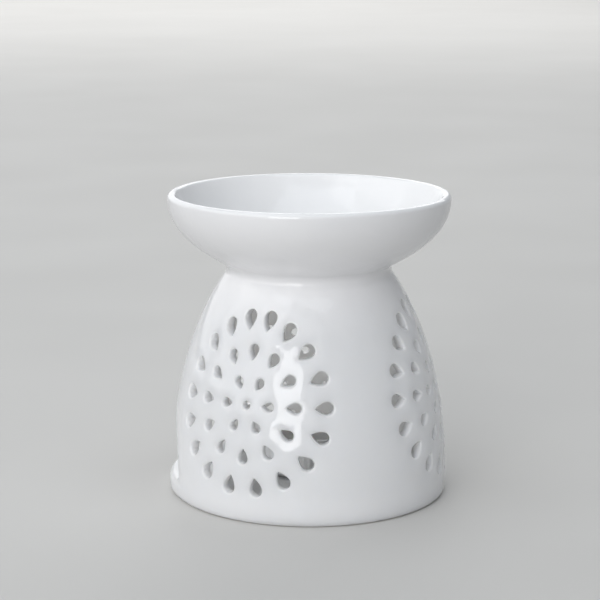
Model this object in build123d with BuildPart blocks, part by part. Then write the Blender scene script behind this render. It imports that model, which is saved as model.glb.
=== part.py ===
"""Essential oil burner in glazed porcelain: a pierced bell-shaped body with a fixed dish on top and a
tealight inside.

Millimetres. The origin is the middle of the foot on the surface that the burner stands on, with +Z up. The
opening for the tealight faces +Y, the front rosette faces -Y and the burner is symmetric about the YZ plane.
"""

import os
from math import asin, cos, radians, sin, sqrt

from build123d import *

# Bell: the outside runs from the foot to the neck on one curve with two handles
base_radius = 52.5
neck_radius = 31.8
neck_height = 84.6
lower_swell = 2.05
lower_swell_height = 31.0
shoulder_reach = 14.6
shoulder_drop = 20.4
wall = 4.0

# Floor, foot ring and sill
hearth_height = 8.0
hearth_round = 4.0
foot_recess = 2.5
foot_ring_width = 6.5
foot_round = 2.0
sill_proud = 1.45
sill_centre = 5.8
sill_depth = 6.0
sill_arc = 100.0
sill_top_round = 3.0

# Opening for the tealight, a half-round arch that stands on the floor
arch_share = 0.54
arch_round = 1.2

# Rosettes: rings of teardrop holes with swelling sides round a small round hole, every point turned to it
rosette_side_bearing = 104.8
rosette_sill_margin = 1.95
rosette_neck_margin = 7.85
middle_ring_share = 0.62
inner_ring_share = 0.289
wrap_radius = 49.7
eye_diameter = 3.0
inner_hole_length, inner_hole_width, inner_hole_count = 4.5, 3.3, 6
middle_hole_length, middle_hole_width, middle_hole_count = 5.6, 3.9, 12
outer_hole_length, outer_hole_width, outer_hole_count = 7.0, 4.9, 18
side_lean_share = 0.5
pierce_margin = 3.0

# Dish
overall_height = 115.0
rim_radius = 53.5
rim_thickness = 3.4
neck_round = 2.8
dish_flare_angle = 57.0
dish_flare = 7.5
dish_side = 14.0
dish_floor_thickness = 4.2
dish_floor_radius = 24.0
dish_floor_spread = 14.0
dish_inner_side = 9.0
dish_inner_lean = 25.0
ceiling_recess = 1.8
ceiling_slope = 1.5

# Tealight, a standard size
cup_radius = 18.8
cup_height = 15.5
cup_wall = 0.4
cup_corner = 1.2
cup_hem_height = 1.0
cup_hem_proud = 0.45
wax_clearance = 0.25
wax_height = 12.6
wax_edge = 0.6
sustainer_radius = 6.5
sustainer_thickness = 0.4
collar_height = 4.0
collar_wall = 0.4
collar_clearance = 0.2
wick_radius = 0.75
wick_clearance = 0.1
wick_above_wax = 6.5
wick_tip = 0.35

# Worked out from the sizes above
shoulder = Vector(-shoulder_reach, shoulder_drop).normalized()
shoulder_normal = Vector(shoulder.Y, -shoulder.X)
neck_wall = wall / shoulder_normal.X
bore_radius = neck_radius - neck_wall
foot_ring_inner = base_radius - foot_round - foot_ring_width
sill_radius = base_radius + sill_proud - sill_centre
arch_radius = base_radius * arch_share
rosette_bottom = hearth_height + rosette_sill_margin
rosette_top = neck_height - rosette_neck_margin
rosette_centre = (rosette_bottom + rosette_top) / 2
outer_ring = (rosette_top - rosette_bottom - outer_hole_length) / 2
middle_ring = outer_ring * middle_ring_share
inner_ring = outer_ring * inner_ring_share
rings = (
    (inner_ring, inner_hole_count, inner_hole_length, inner_hole_width),
    (middle_ring, middle_hole_count, middle_hole_length, middle_hole_width),
    (outer_ring, outer_hole_count, outer_hole_length, outer_hole_width),
)
rosette_bearings = (0.0, rosette_side_bearing, -rosette_side_bearing)
pierce_start = neck_radius - wall - pierce_margin
pierce_depth = base_radius + lower_swell - pierce_start
lip_radius = rim_thickness / 2
inner_lean = radians(dish_inner_lean)
ceiling_height = neck_height + ceiling_recess
dish_floor_height = ceiling_height + dish_floor_thickness
cup_inner_radius = cup_radius - cup_wall
cup_inner_corner = cup_corner - cup_wall * (2 - sqrt(2))
wax_radius = cup_inner_radius - wax_clearance
wax_bottom = hearth_height + cup_wall
wax_top = wax_bottom + wax_height
wick_bottom = wax_bottom + sustainer_thickness
collar_radius = wick_radius + wick_clearance + collar_wall
wax_bore_radius = collar_radius + collar_clearance


def bell_curve(inset):
    """Control points of the bell's outside, moved in by a wall thickness."""
    foot = Vector(base_radius - inset, 0)
    swell = Vector(base_radius + lower_swell - inset, lower_swell_height)
    neck = Vector(neck_radius - inset / shoulder_normal.X, neck_height)
    handle = Vector(neck_radius + shoulder_reach, neck_height - shoulder_drop) - shoulder_normal * inset
    return foot, swell, handle, neck


def hole_plane(bearing, distance, angle):
    """Plane of one hole: it faces straight out from the axis and its x runs away from the rosette's middle."""
    turn = radians(bearing) + distance * cos(radians(angle)) / wrap_radius
    outward = Vector(sin(turn), -cos(turn), 0)
    sideways = Vector(cos(turn), sin(turn), 0)
    height = rosette_centre + distance * sin(radians(angle))
    start = outward * pierce_start + Vector(0, 0, height)
    away = sideways * cos(radians(angle)) + Vector(0, 0, sin(radians(angle)))
    return Plane(origin=start, x_dir=away, z_dir=outward)


def ring_planes(distance, count):
    """Planes of one ring of holes in all the rosettes."""
    return [
        hole_plane(bearing, distance, 360 / count * step)
        for bearing in rosette_bearings
        for step in range(count)
    ]


# Body: bell, floor, foot ring, sill, arch and rosettes in one casting
with BuildPart() as pierced_body:
    with BuildSketch(Plane.XZ) as bell_section:
        with BuildLine():
            Polyline(
                (neck_radius, neck_height),
                (0, neck_height),
                (0, foot_recess),
                (foot_ring_inner - foot_recess, foot_recess),
                (foot_ring_inner, 0),
                (base_radius, 0),
            )
            Bezier(*bell_curve(0))
        make_face()
        fillet(bell_section.vertices().sort_by_distance((base_radius, 0))[0], foot_round)
    revolve(axis=Axis.Z)
    with BuildSketch(Plane.XZ) as cavity_section:
        with BuildLine():
            inner_wall = Bezier(*bell_curve(wall))
            Polyline(inner_wall @ 1, (0, neck_height), (0, 0), inner_wall @ 0)
        make_face()
        with Locations((0, hearth_height)):
            Rectangle(
                base_radius + lower_swell,
                neck_height - hearth_height,
                align=(Align.MIN, Align.MIN),
                mode=Mode.INTERSECT,
            )
        corner = cavity_section.vertices().group_by(Axis.Y)[0].sort_by(Axis.X)[-1]
        fillet(corner, hearth_round)
    revolve(axis=Axis.Z, mode=Mode.SUBTRACT)
    with BuildSketch(Plane((0, 0, hearth_height), x_dir=(-1, 0, 0), z_dir=(0, 1, 0))):
        Circle(arch_radius)
        Rectangle(2 * arch_radius, arch_radius, align=(Align.CENTER, Align.MIN), mode=Mode.INTERSECT)
    extrude(amount=base_radius + lower_swell, mode=Mode.SUBTRACT)
    arch_edges = pierced_body.edges(Select.LAST).filter_by(GeomType.BSPLINE)
    fillet(arch_edges, arch_round)
    sill_start = radians(90 - sill_arc / 2)
    with BuildSketch(
        Plane(
            (0, sill_centre, 0),
            x_dir=(cos(sill_start), sin(sill_start), 0),
            z_dir=(sin(sill_start), -cos(sill_start), 0),
        )
    ) as sill_section:
        with Locations((sill_radius - sill_depth, 0)):
            Rectangle(sill_depth, hearth_height, align=(Align.MIN, Align.MIN))
        outer_corners = sill_section.vertices().group_by(Axis.X)[-1].sort_by(Axis.Y)
        fillet(outer_corners[0], foot_round)
        top_corner = sill_section.vertices().sort_by_distance((sill_radius, hearth_height))[0]
        fillet(top_corner, sill_top_round)
    revolve(axis=Axis((0, sill_centre, 0), (0, 0, 1)), revolution_arc=sill_arc)
    with BuildSketch(*ring_planes(0, 1)):
        Circle(eye_diameter / 2)
    for distance, count, length, width in rings:
        bulb = width / 2
        lean = asin(bulb / (length - bulb)) * side_lean_share
        touch_x = length / 2 - bulb - bulb * sin(lean)
        touch_y = bulb * cos(lean)
        with BuildSketch(*ring_planes(distance, count)):
            with BuildLine():
                TangentArc((touch_x, -touch_y), (-length / 2, 0), tangent=(-cos(lean), sin(lean)))
                ThreePointArc((touch_x, -touch_y), (length / 2, 0), (touch_x, touch_y))
                TangentArc((touch_x, touch_y), (-length / 2, 0), tangent=(-cos(lean), -sin(lean)))
            make_face()
    extrude(amount=pierce_depth, mode=Mode.SUBTRACT)

# Dish: it stands on the flat top of the neck and closes it
with BuildPart() as oil_dish:
    with BuildSketch(Plane.XZ):
        with BuildLine():
            neck_turn = dish_flare_angle + shoulder.get_angle(Vector(0, 1))
            neck_curve = JernArc((neck_radius, neck_height), shoulder, neck_round, -neck_turn)
            flare = neck_curve @ 1 + (neck_curve % 1) * dish_flare
            lip_centre = Vector(rim_radius - lip_radius, overall_height - lip_radius)
            outer_edge = lip_centre + Vector(lip_radius, 0)
            inner_edge = lip_centre + Vector(-cos(inner_lean), sin(inner_lean)) * lip_radius
            Bezier(neck_curve @ 1, flare, outer_edge - Vector(0, dish_side), outer_edge)
            ThreePointArc(outer_edge, lip_centre + Vector(0, lip_radius), inner_edge)
            floor_edge = Vector(dish_floor_radius, dish_floor_height)
            Bezier(
                inner_edge,
                inner_edge - Vector(sin(inner_lean), cos(inner_lean)) * dish_inner_side,
                floor_edge + Vector(dish_floor_spread, 0),
                floor_edge,
            )
            Polyline(
                floor_edge,
                (0, dish_floor_height),
                (0, ceiling_height),
                (bore_radius - ceiling_slope, ceiling_height),
                (bore_radius, neck_height),
                (neck_radius, neck_height),
            )
        make_face()
    revolve(axis=Axis.Z)

# Tealight cup: thin pressed shell with a hem folded out round its rim
with BuildPart() as tealight_cup:
    with BuildSketch(Plane.XZ) as cup_section:
        with Locations((0, hearth_height)):
            Rectangle(cup_radius, cup_height, align=(Align.MIN, Align.MIN))
        chamfer(cup_section.vertices().sort_by_distance((cup_radius, hearth_height))[0], cup_corner)
        with Locations((cup_inner_radius, hearth_height + cup_height)):
            Rectangle(cup_wall + cup_hem_proud, cup_hem_height, align=(Align.MIN, Align.MAX))
    revolve(axis=Axis.Z)
    with BuildSketch(Plane.XZ) as cup_hollow:
        with Locations((0, wax_bottom)):
            Rectangle(cup_inner_radius, cup_height, align=(Align.MIN, Align.MIN))
        chamfer(cup_hollow.vertices().sort_by_distance((cup_inner_radius, wax_bottom))[0], cup_inner_corner)
    revolve(axis=Axis.Z, mode=Mode.SUBTRACT)

# Wax: a pressed tablet with a bore for the wick and a shallow seat for the sustainer underneath
with BuildPart() as tealight_wax:
    with BuildSketch(Plane.XZ) as wax_section:
        with Locations((wax_bore_radius, wax_bottom)):
            Rectangle(wax_radius - wax_bore_radius, wax_height, align=(Align.MIN, Align.MIN))
        lower_edge = wax_section.vertices().sort_by_distance((wax_radius, wax_bottom))[0]
        chamfer(lower_edge, cup_corner)
        upper_edge = wax_section.vertices().sort_by_distance((wax_radius, wax_top))[0]
        chamfer(upper_edge, wax_edge)
        with Locations((0, wax_bottom)):
            Rectangle(
                sustainer_radius + collar_clearance,
                sustainer_thickness + collar_clearance,
                align=(Align.MIN, Align.MIN),
                mode=Mode.SUBTRACT,
            )
    revolve(axis=Axis.Z)

# Sustainer: a disc on the floor of the cup with a collar that grips the wick
with BuildPart() as wick_sustainer:
    with BuildSketch(Plane.XY.offset(wax_bottom)):
        Circle(sustainer_radius)
    extrude(amount=sustainer_thickness)
    with BuildSketch(Plane.XY.offset(wick_bottom)):
        Circle(collar_radius)
        Circle(wick_radius + wick_clearance, mode=Mode.SUBTRACT)
    extrude(amount=collar_height)

# Wick: it stands on the sustainer and comes out of the wax
with BuildPart() as wick:
    with BuildSketch(Plane.XY.offset(wick_bottom)):
        Circle(wick_radius)
    extrude(amount=wax_top + wick_above_wax - wick_bottom)
    chamfer(wick.faces().sort_by(Axis.Z)[-1].edges(), wick_tip)

pieces = {
    "pierced_body": pierced_body,
    "oil_dish": oil_dish,
    "tealight_cup": tealight_cup,
    "tealight_wax": tealight_wax,
    "wick_sustainer": wick_sustainer,
    "wick": wick,
}
os.makedirs("parts", exist_ok=True)
for name, piece in pieces.items():
    piece.part.label = name
    export_step(piece.part, f"parts/{name}.step")
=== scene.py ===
"""Essential oil burner in glazed porcelain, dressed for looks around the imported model.

The pierced bell is drawn as flat panels: x runs along the wall, y is the distance from the axis and z is
the height. A node tree repeats the panels and wraps them round the axis. Sizes are millimetres unless a
docstring says metres, bearings are degrees, and meshes are metres.
"""

import logging
import math
from dataclasses import dataclass, field
from enum import Enum
from functools import cache
from typing import Iterable, Sequence

import bmesh
import bpy
import numpy as np
from mathutils import Matrix, Vector, geometry, noise


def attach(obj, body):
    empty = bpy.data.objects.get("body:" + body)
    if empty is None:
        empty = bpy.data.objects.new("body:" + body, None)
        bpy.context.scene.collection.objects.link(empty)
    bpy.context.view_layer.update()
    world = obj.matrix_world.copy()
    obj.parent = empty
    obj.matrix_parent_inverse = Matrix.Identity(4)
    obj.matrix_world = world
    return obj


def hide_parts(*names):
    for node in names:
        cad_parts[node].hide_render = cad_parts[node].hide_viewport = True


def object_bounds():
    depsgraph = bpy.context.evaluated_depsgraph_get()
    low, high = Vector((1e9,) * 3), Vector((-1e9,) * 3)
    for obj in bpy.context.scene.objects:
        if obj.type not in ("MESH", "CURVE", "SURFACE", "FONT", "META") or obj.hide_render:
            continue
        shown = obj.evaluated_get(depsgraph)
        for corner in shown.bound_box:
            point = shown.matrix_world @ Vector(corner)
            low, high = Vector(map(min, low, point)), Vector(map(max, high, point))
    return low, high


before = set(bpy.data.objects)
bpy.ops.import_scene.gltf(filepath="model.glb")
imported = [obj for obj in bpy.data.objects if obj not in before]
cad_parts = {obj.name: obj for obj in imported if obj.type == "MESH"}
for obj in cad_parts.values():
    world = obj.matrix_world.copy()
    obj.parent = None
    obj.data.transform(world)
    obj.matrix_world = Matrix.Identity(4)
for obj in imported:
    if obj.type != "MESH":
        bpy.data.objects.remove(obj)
CAD_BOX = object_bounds()

MM = 0.001
WELD = 5e-6  # Metres within which two points are one.
SAME = 1e-6  # Millimetres within which two places are the same.
SLIVER = 1e-4  # Square millimetres, twice the area of the smallest triangle that stays.
LEVEL_RISE = 1e-12  # Stands in for the rise of a level edge.
SHARP = 40.0  # Degrees from which an edge of the porcelain stays sharp.
NOISE_SPAN = (0.3, 0.7)  # Values that a noise mostly stays between.
GLOSS_PATCHES = 3  # Patches of gloss in a patch of tone.
MIX_COLOURS, MIX_RESULT = (6, 7), 2  # Colour sockets of the mix node.
log = logging.getLogger("oil_burner")

Row = np.ndarray
Span = tuple[float, float]
Colour = Triple = tuple[float, float, float]
Material, Mesh, Piece = bpy.types.Material, bpy.types.Mesh, bpy.types.Object
Node, Socket, Tree = bpy.types.Node, bpy.types.NodeSocket, bpy.types.NodeTree


class Body(Enum):
    """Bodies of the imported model."""

    BURNER = "burner"
    TEALIGHT = "tealight"


class Slot(Enum):
    """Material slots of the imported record."""

    PORCELAIN = "glazed_porcelain"
    ALUMINIUM = "pressed_aluminium"
    WAX = "white_wax"
    COTTON = "cotton_wick"


class PanelKind(Enum):
    """Panels that the bell's wall is made of."""

    ROSETTE = "rosette"
    PLAIN = "plain"
    ARCH = "arch"


@dataclass
class Graph:
    """A node tree on its way."""

    tree: Tree

    def add(self, kind: str | Node, inputs: dict | None = None, **settings: object) -> Node:
        """Adds a node, or goes on with one that is there.

        Args:
            kind: The node's type, or the node.
            inputs: A value, a socket, or a node with a first output, for each input by its name or place.
            **settings: Properties of the node.

        Returns:
            The node.
        """
        node = kind if isinstance(kind, Node) else self.tree.nodes.new(kind)
        for key, value in settings.items():
            setattr(node, key, value)
        for key, value in (inputs or {}).items():
            if isinstance(value, (Node, Socket)):
                source = value.outputs[0] if isinstance(value, Node) else value
                self.tree.links.new(source, node.inputs[key])
            else:
                node.inputs[key].default_value = value
        return node

    def place(self) -> Socket:
        """Returns the socket with the object's own coordinates."""
        return self.add("ShaderNodeTexCoord").outputs["Object"]

    def math(self, operation: str, *values: object) -> Socket:
        """Returns the socket with the result of a sum on numbers or sockets."""
        return self.add("ShaderNodeMath", dict(enumerate(values)), operation=operation).outputs[0]

    def noise(self, scale: float, stretch: Triple = (1, 1, 1)) -> Socket:
        """Returns the socket with a noise of so many waves per metre, stretched along each axis."""
        spot = self.add("ShaderNodeMapping", {"Vector": self.place(), "Scale": stretch})
        return self.add("ShaderNodeTexNoise", {"Vector": spot, "Scale": scale}).outputs[0]

    def ramp(self, value: Socket, given: Span, wanted: Span) -> Socket:
        """Returns the socket with a value taken from one span to another, and held at the ends."""
        ends = zip(("From Min", "From Max", "To Min", "To Max"), (*given, *wanted))
        return self.add("ShaderNodeMapRange", {"Value": value, **dict(ends)}).outputs[0]

    def blend(self, factor: Socket, *colours: object) -> Socket:
        """Returns the socket with the blend of two colours, each of them a colour or a socket."""
        ends = zip(MIX_COLOURS, ((*c, 1) if isinstance(c, tuple) else c for c in colours))
        return self.add("ShaderNodeMix", {0: factor, **dict(ends)}, data_type="RGBA").outputs[MIX_RESULT]

    def bump(self, height: Socket, strength: float, depth: float, **under: Socket) -> Socket:
        """Returns the socket with a bumped normal, on the Normal of a bump under it if that is given."""
        inputs = {"Height": height, "Strength": strength, "Distance": depth, **under}
        return self.add("ShaderNodeBump", inputs).outputs[0]

    def backdrop(self) -> Socket:
        """Returns the socket that is 1 for rays that show the backdrop, seen, mirrored or through glass."""
        path = self.add("ShaderNodeLightPath").outputs
        mirrored = self.math("MAXIMUM", path["Is Glossy Ray"], path["Is Transmission Ray"])
        return self.math("MAXIMUM", path["Is Camera Ray"], mirrored)


@dataclass(frozen=True)
class Finish:
    """A finish: how a surface looks up close.

    Attributes:
        patch: Patches of tone per metre.
        gloss: Lowest and highest roughness.
        grain: Waves of the bump per metre.
        grain_depth: Height of the bump in metres.
        grain_strength: Share of the bump that shows.
        stretch: Scale of the grain along each axis.
        shader: Other sockets of the shader.
    """

    name: str
    light: Colour
    dark: Colour
    patch: float
    gloss: Span
    grain: float
    grain_depth: float
    grain_strength: float = 0.3
    stretch: Triple = (1, 1, 1)
    metallic: float = 0.0
    shader: tuple[tuple[str, object], ...] = ()

    def tone(self, graph: Graph) -> Socket:
        """Returns the socket with the base colour."""
        patches = graph.ramp(graph.noise(self.patch), NOISE_SPAN, (0, 1))
        return graph.blend(patches, self.light, self.dark)

    def normal(self, graph: Graph) -> Socket:
        """Returns the socket with the bumped normal."""
        height = graph.noise(self.grain, self.stretch)
        return graph.bump(height, self.grain_strength, self.grain_depth)

    def others(self, graph: Graph) -> dict[str, object]:
        """Returns what the other inputs of the shader are fed with."""
        return {"Metallic": self.metallic, **dict(self.shader)}

    @cache
    def material(self) -> Material:
        """Returns the finish as a material, the same one each time."""
        material = bpy.data.materials.new(self.name)
        material.use_nodes = True
        graph = Graph(material.node_tree)
        rough = graph.ramp(graph.noise(self.patch * GLOSS_PATCHES), NOISE_SPAN, self.gloss)
        inputs = {"Base Color": self.tone(graph), "Roughness": rough, "Normal": self.normal(graph)}
        graph.add(graph.tree.nodes["Principled BSDF"], inputs | self.others(graph))
        return material


@dataclass(frozen=True)
class Glaze(Finish):
    """Clear gloss glaze on porcelain that lets light through, white on the edges of the holes, where it
    thins.

    Attributes:
        rim: Pale tone on the edges of the holes, where the glaze thins, and painted light over the inside of
            the bell and the dish.
        rim_and_painted_light_share: How much of that tone shows.
        peel: Fine waves per metre, and peel_depth their height in metres.
        glow: Share of the light that goes into the slim wall of the bell, and into the thick dish.
        glow_top: Heights in metres between which that share changes, below the joint at the neck.
        value: Lightness of the tone on the bell and on the dish: painted light, the bell painted lighter and
            the dish darker.
        painted_light_top: Heights in metres between which that painted lightness changes, at the joint.
    """

    # Pale tone where the glaze thins on the edges of the holes; over the inside it is painted light.
    rim: Colour = (0.95, 0.95, 0.945)
    rim_and_painted_light_share: float = 0.9
    peel: float = 520.0
    peel_depth: float = 0.00002
    glow: Span = (0.9, 0.0)
    glow_top: Span = (0.068, 0.081)
    # Painted light: the bell painted lighter and the dish darker than their one glaze.
    value: Span = (1.065, 0.95)
    painted_light_top: Span = (0.083, 0.088)

    def by_height(self, graph: Graph, heights: Span, values: Span) -> Socket:
        """Returns the socket with a value that changes between two heights."""
        height = graph.add("ShaderNodeSeparateXYZ", {0: graph.place()}).outputs["Z"]
        return graph.ramp(height, heights, values)

    def tone(self, graph: Graph) -> Socket:
        """Returns the socket with the base colour, whiter on the edges of the holes, with painted light over
        the inside and between bell and dish.
        """
        rim = graph.add("ShaderNodeAttribute", attribute_name="rim").outputs["Fac"]
        # Painted light: lighter on the bell and darker on the dish, changing at the joint.
        value = self.by_height(graph, self.painted_light_top, self.value)
        plain = graph.add("ShaderNodeHueSaturation", {"Color": super().tone(graph), "Value": value})
        # Pale tone where the rim attribute asks: glaze that thins on the edges of the holes, and painted
        # light over the inside.
        return graph.blend(graph.math("MULTIPLY", rim, self.rim_and_painted_light_share), plain, self.rim)

    def normal(self, graph: Graph) -> Socket:
        """Returns the socket with the normal of the soft waves and the fine ones on them."""
        soft = super().normal(graph)
        return graph.bump(graph.noise(self.peel), self.grain_strength, self.peel_depth, Normal=soft)

    def others(self, graph: Graph) -> dict[str, object]:
        """Returns what the other inputs are fed with, the light that goes into the wall among them."""
        return super().others(graph) | {"Subsurface Weight": self.by_height(graph, self.glow_top, self.glow)}


@dataclass(frozen=True)
class FarFloor(Finish):
    """Floor that stays pale far from the lamps.

    Attributes:
        lift: How much lighter the far floor is seen than it is lit.
        lift_span: Distances from the burner, in metres, over which that grows.
    """

    lift: float = 0.6
    lift_span: Span = (1.6, 5.0)

    def others(self, graph: Graph) -> dict[str, object]:
        """Returns what the other inputs are fed with, the lift of the far floor among them."""
        reach = graph.add("ShaderNodeVectorMath", {0: graph.place()}, operation="LENGTH").outputs["Value"]
        lift = graph.math("MULTIPLY", graph.ramp(reach, self.lift_span, (0, self.lift)), graph.backdrop())
        return super().others(graph) | {"Emission Color": (*self.light, 1), "Emission Strength": lift}


GLAZE = Glaze(
    name="glazed_porcelain", light=(0.845, 0.845, 0.855), dark=(0.815, 0.815, 0.83), patch=24,
    gloss=(0.02, 0.05), grain=95, grain_depth=0.0006, grain_strength=0.4,
    shader=(("IOR", 1.52), ("Subsurface Scale", 0.014), ("Subsurface Radius", (1.0, 0.97, 0.92))),
)
BISCUIT = Finish(
    name="biscuit_foot", light=(0.74, 0.70, 0.64), dark=(0.66, 0.62, 0.56), patch=160,
    gloss=(0.65, 0.85), grain=2600, grain_depth=0.00008, grain_strength=0.6,
)
ALUMINIUM = Finish(
    name="pressed_aluminium", light=(0.89, 0.90, 0.91), dark=(0.80, 0.81, 0.82), patch=320,
    gloss=(0.36, 0.5), grain=420, grain_depth=0.00006, stretch=(1, 1, 0.12), metallic=1.0,
)
PARAFFIN = Finish(
    name="white_wax", light=(0.86, 0.85, 0.81), dark=(0.80, 0.785, 0.735), patch=210,
    gloss=(0.32, 0.5), grain=380, grain_depth=0.00025,
    shader=(("Subsurface Weight", 0.25), ("Subsurface Scale", 0.003)),
)
COTTON = Finish(
    name="waxed_cotton", light=(0.84, 0.81, 0.73), dark=(0.70, 0.66, 0.56), patch=900,
    gloss=(0.55, 0.8), grain=5200, grain_depth=0.00012, grain_strength=0.7, stretch=(1, 1, 0.35),
    shader=(("Sheen Weight", 0.25),),
)
TIN = Finish(
    name="tinned_steel", light=(0.70, 0.70, 0.69), dark=(0.56, 0.56, 0.55), patch=700,
    gloss=(0.25, 0.42), grain=1500, grain_depth=0.00003, metallic=1.0,
)
STUDIO_FLOOR = FarFloor(
    name="studio_floor", light=(0.60, 0.59, 0.57), dark=(0.575, 0.565, 0.545), patch=3,
    gloss=(0.7, 0.8), grain=900, grain_depth=0.0001, grain_strength=0.1,
)


@dataclass
class Draft:
    """Points of a mesh on its way, how far each takes the pale tone of hole edges and painted light, and
    faces by the points' numbers.
    """

    points: list[Row] = field(default_factory=list)
    rims_and_painted_light: list[Row] = field(default_factory=list)
    faces: list[tuple[int, ...]] = field(default_factory=list)

    def add(self, points: Row, faces: Iterable[Sequence[int]], rims_and_painted_light: Row | float = 0.0) -> None:
        """Adds points and the faces between them.

        Args:
            points: The points.
            faces: Faces, by place among these points.
            rims_and_painted_light: How far each point takes the pale tone, at hole edges and as painted
                light inside.
        """
        base = sum(map(len, self.points))
        self.points.append(points)
        self.rims_and_painted_light.append(np.broadcast_to(rims_and_painted_light, len(points)))
        self.faces.extend(tuple(base + int(i) for i in face) for face in faces)

    def strips(self, rows: Sequence[Row], closed: bool, rims_and_painted_light: Row | float = 0.0) -> None:
        """Adds strips of faces from row to row.

        Args:
            rows: Rows with the same number of points.
            closed: Whether each row joins its own start.
            rims_and_painted_light: How far each row, or each point, takes the pale tone, at hole edges and
                as painted light inside.
        """
        width = len(rows[0])
        starts = [
            (k * width + i, k * width + (i + 1) % width)
            for k in range(len(rows) - 1)
            for i in range(width if closed else width - 1)
        ]
        shares = np.repeat(rims_and_painted_light, width) if np.size(rims_and_painted_light) == len(rows) else rims_and_painted_light
        self.add(np.vstack(rows), [(a, b, b + width, a + width) for a, b in starts], shares)

    def mesh(self) -> Mesh:
        """Returns the draft as a mesh in metres, with a rim attribute that also carries painted light."""
        mesh = bpy.data.meshes.new("draft")
        mesh.from_pydata(np.vstack(self.points) * MM, [], self.faces)
        # The rim attribute holds the pale tone: hole edges, and painted light over the inside.
        rim = mesh.attributes.new("rim", "FLOAT", "POINT")
        rim.data.foreach_set("value", np.concatenate(self.rims_and_painted_light).astype(np.float32))
        return mesh


def geometry_tree(name: str, kinds: dict[str, str]) -> tuple[Graph, bpy.types.NodeOutputs]:
    """Starts a geometry tree with one output.

    Args:
        name: Name of the tree.
        kinds: Type of each named input.

    Returns:
        The tree on its way, and the sockets of its inputs.
    """
    graph = Graph(bpy.data.node_groups.new(name, "GeometryNodeTree"))
    for key, kind in kinds.items():
        graph.tree.interface.new_socket(key, in_out="INPUT", socket_type=f"NodeSocket{kind}")
    graph.tree.interface.new_socket("Geometry", in_out="OUTPUT", socket_type="NodeSocketGeometry")
    return graph, graph.add("NodeGroupInput").outputs


@cache
def wrap_tree() -> Tree:
    """Returns the tree that repeats a flat panel along x and wraps it round the axis."""
    graph, given = geometry_tree("wrap_round_axis", {
        "Panel": "Geometry", "Count": "Int", "Wrap Radius": "Float", "First Bearing": "Float",
        "Bearing Step": "Float", "Weld": "Float", "Material": "Material",
    })
    turn = graph.math("MULTIPLY", graph.add("GeometryNodeInputIndex"), given["Bearing Step"])
    shift = graph.math("MULTIPLY", graph.math("ADD", turn, given["First Bearing"]), given["Wrap Radius"])
    spots = {"Count": given["Count"], "Position": graph.add("ShaderNodeCombineXYZ", {0: shift})}
    starts = graph.add("GeometryNodePoints", spots)
    repeated = graph.add("GeometryNodeInstanceOnPoints", {"Points": starts, "Instance": given["Panel"]})
    flat = graph.add("GeometryNodeRealizeInstances", {"Geometry": repeated})
    spot = graph.add("ShaderNodeSeparateXYZ", {0: graph.add("GeometryNodeInputPosition")})
    along, reach, height = spot.outputs
    angle = graph.math("DIVIDE", along, given["Wrap Radius"])
    sideways = graph.math("MULTIPLY", reach, graph.math("SINE", angle))
    forward = graph.math("MULTIPLY", reach, graph.math("COSINE", angle))
    back = graph.math("MULTIPLY", forward, -1.0)
    target = graph.add("ShaderNodeCombineXYZ", {0: sideways, 1: back, 2: height})
    bent = graph.add("GeometryNodeSetPosition", {"Geometry": flat, "Position": target})
    welded = graph.add("GeometryNodeMergeByDistance", {"Geometry": bent, "Distance": given["Weld"]})
    dressed = graph.add("GeometryNodeSetMaterial", {"Geometry": welded, "Material": given["Material"]})
    graph.add("NodeGroupOutput", {0: dressed})
    return graph.tree


@cache
def strand_tree() -> Tree:
    """Returns the tree that twists round strands into a wick."""
    graph, given = geometry_tree("twisted_strands", {
        "Empty": "Geometry", "Strands": "Int", "Strand Radius": "Float", "Strand Sides": "Int",
        "Twist Radius": "Float", "Turns": "Float", "Turn Steps": "Int", "Bottom": "Float", "Length": "Float",
        "Material": "Material",
    })
    line = graph.add("GeometryNodeCurveSpiral", {
        "Resolution": given["Turn Steps"], "Rotations": given["Turns"], "Height": given["Length"],
        "Start Radius": given["Twist Radius"], "End Radius": given["Twist Radius"],
    })
    share = graph.math("DIVIDE", graph.add("GeometryNodeInputIndex"), given["Strands"])
    turn = graph.add("ShaderNodeCombineXYZ", {2: graph.math("MULTIPLY", share, math.tau)})
    spots = {"Count": given["Strands"], "Position": graph.add("ShaderNodeCombineXYZ", {2: given["Bottom"]})}
    starts = graph.add("GeometryNodePoints", spots)
    twist = {"Points": starts, "Instance": line, "Rotation": turn}
    twisted = graph.add("GeometryNodeInstanceOnPoints", twist)
    lines = graph.add("GeometryNodeRealizeInstances", {"Geometry": twisted})
    circle = {"Resolution": given["Strand Sides"], "Radius": given["Strand Radius"]}
    ring = graph.add("GeometryNodeCurvePrimitiveCircle", circle)
    solid = graph.add("GeometryNodeCurveToMesh", {"Curve": lines, "Profile Curve": ring, "Fill Caps": True})
    dressed = graph.add("GeometryNodeSetMaterial", {"Geometry": solid, "Material": given["Material"]})
    graph.add("NodeGroupOutput", {0: dressed})
    return graph.tree


def in_scene(name: str, data: bpy.types.ID) -> Piece:
    """Returns a new object with the given mesh, lamp or camera, in the scene."""
    bpy.context.scene.collection.objects.link(thing := bpy.data.objects.new(name, data))
    return thing


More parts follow.
